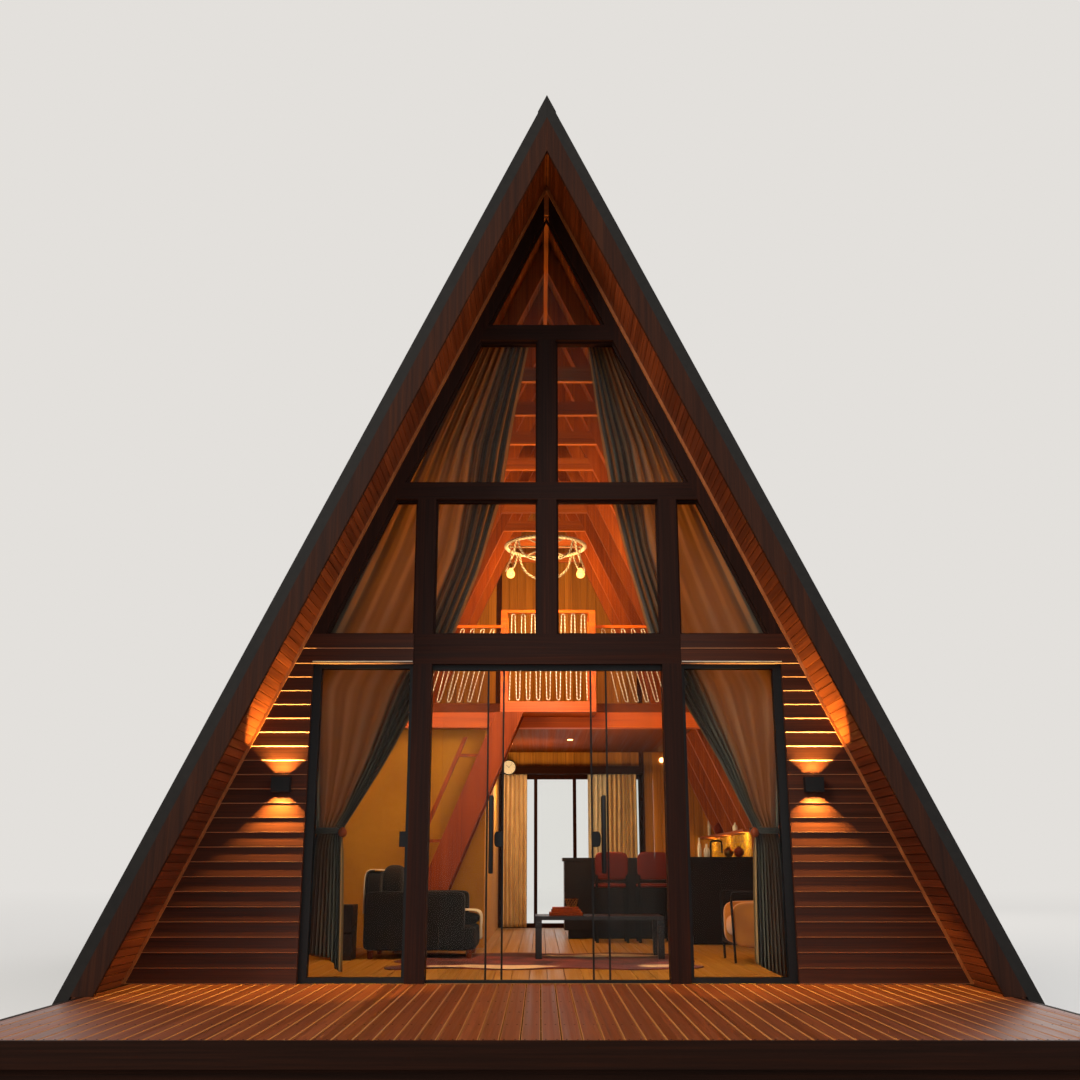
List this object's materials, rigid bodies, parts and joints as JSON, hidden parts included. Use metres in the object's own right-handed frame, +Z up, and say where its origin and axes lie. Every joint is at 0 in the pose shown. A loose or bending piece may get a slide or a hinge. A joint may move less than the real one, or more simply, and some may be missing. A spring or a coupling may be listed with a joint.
{
  "type": "a-frame cabin",
  "caption": "Timber a-frame cabin with a glazed gable, sliding glass doors, loft, steep stair, front deck and a roof that runs down to the ground.",
  "frame": {"origin": "on the ground under the middle of the whole building, deck and roof overhangs included", "axes": "+X to the right as seen from the front, +Y from the front deck into the house, +Z up"},
  "size_m": [6.7, 12.28, 7.1409],
  "materials": {
    "concrete": "cast concrete",
    "floor_wood": "oiled boards",
    "deck_wood": "stained deck boards",
    "frame_wood": "oiled softwood",
    "dark_wood": "dark stain",
    "siding": "red-brown stained boards",
    "roofing": "matt black roofing",
    "clear_glass": "clear",
    "black_metal": "satin black",
    "rope": "twisted rope",
    "bulb": "lit bulb",
    "drape_cloth": "heavy woven cloth",
    "curtain_cloth": "lined cloth",
    "rug_wool": "wool pile",
    "sofa_cloth": "charcoal cloth",
    "chair_cloth": "ochre cloth",
    "stool_plastic": "terracotta shell",
    "counter_dark": "dark cupboard fronts",
    "clock_face": "pale dial"
  },
  "bodies": {
    "building": {"floor_slab": "concrete", "floor_boards": "floor_wood", "deck_platform": "deck_wood", "deck_joists": "deck_wood", "deck_fascia": "dark_wood", "rafters": "frame_wood", "ridge_board": "frame_wood", "collar_ties": "frame_wood", "ceiling_lining": "frame_wood", "roof_panels": "roofing", "bargeboards": "dark_wood", "ridge_cap": "roofing", "front_posts": "dark_wood", "front_beams": "dark_wood", "gable_frame": "dark_wood", "front_walls": "siding", "front_spandrels": "siding", "gable_glass": "clear_glass", "side_window_frames": "black_metal", "side_glass": "clear_glass", "door_tracks": "black_metal", "fixed_leaves": "clear_glass", "wall_lamps": "black_metal", "back_walls": "siding", "back_gable": "siding", "back_window_frame": "dark_wood", "back_glass": "clear_glass", "loft_floor": "frame_wood", "loft_beam": "frame_wood", "stair_landing": "frame_wood", "loft_guard": "frame_wood", "stair_stringers": "frame_wood", "stair_treads": "frame_wood", "stair_rail": "frame_wood", "partition_front": "floor_wood", "partition_side": "floor_wood", "kitchen_wall": "frame_wood", "chandelier": "rope", "chandelier_bulbs": "bulb", "curtain_rails": "dark_wood", "drape_left": "drape_cloth", "drape_right": "drape_cloth", "back_curtains": "curtain_cloth", "wall_clock": "clock_face", "rug": "rug_wool", "sofa": "sofa_cloth", "sofa_cushions": "sofa_cloth", "coffee_table": "dark_wood", "kitchen_counters": "counter_dark", "bar_stools": "stool_plastic", "armchair": "chair_cloth", "side_cabinet": "counter_dark"},
    "left_leaf": {"sliding_leaf_left": "clear_glass", "door_pull_left": "black_metal"},
    "right_leaf": {"sliding_leaf_right": "clear_glass", "door_pull_right": "black_metal"}
  },
  "joints": [
    {"name": "left_door_slide", "type": "slide", "parent": "building", "child": "left_leaf", "axis": [1, 0, 0], "range_m": [0, 0.334]},
    {"name": "right_door_slide", "type": "slide", "parent": "building", "child": "right_leaf", "axis": [-1, 0, 0], "range_m": [0, 0.334]}
  ]
}
